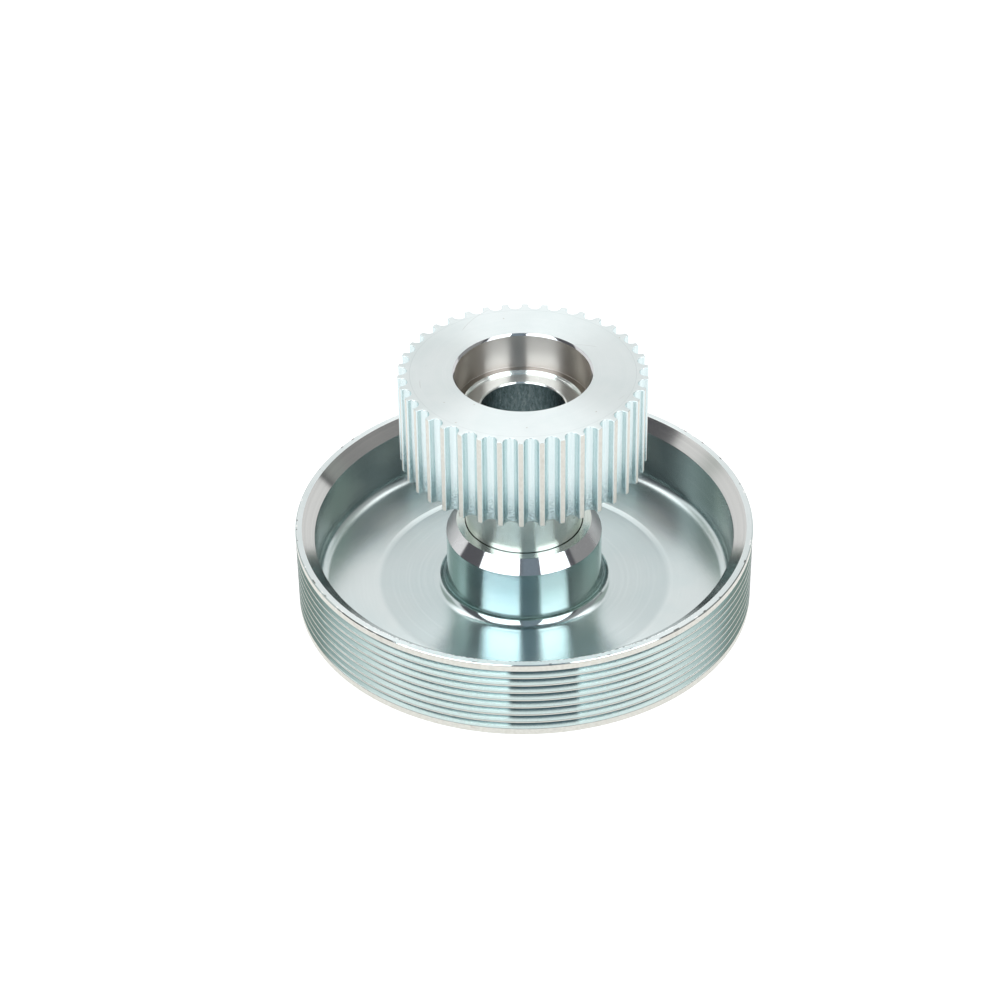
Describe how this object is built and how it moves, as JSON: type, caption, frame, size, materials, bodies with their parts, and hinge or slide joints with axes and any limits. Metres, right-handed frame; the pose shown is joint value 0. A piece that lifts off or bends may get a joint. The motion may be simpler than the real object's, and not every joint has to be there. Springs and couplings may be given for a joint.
{
  "type": "timing belt pulley",
  "caption": "Compound steel pulley: a toothed timing pulley pressed by its neck into the hub of a wide, dished, ribbed V-belt pulley, with a bearing seat at each end.",
  "frame": {"origin": "centre of the flat underside, on the axis of rotation", "axes": "+Z along the axis of rotation, from the ribbed pulley towards the timing pulley; one tooth's land points 1.8 degrees from +Y, towards +X"},
  "size_m": [0.18, 0.18, 0.1037],
  "materials": {
    "zinc_plated_steel": "satin turned steel with a bluish bright zinc plate, bare on the chamfer inside the rim and on the ribs' crests",
    "zinc_plated_steel_bright": "satin turned steel with a bluish bright zinc plate, its bearing seat finish-turned to bare steel"
  },
  "bodies": {
    "root": {"ribbed_pulley": "zinc_plated_steel", "timing_pulley": "zinc_plated_steel_bright"}
  },
  "joints": []
}
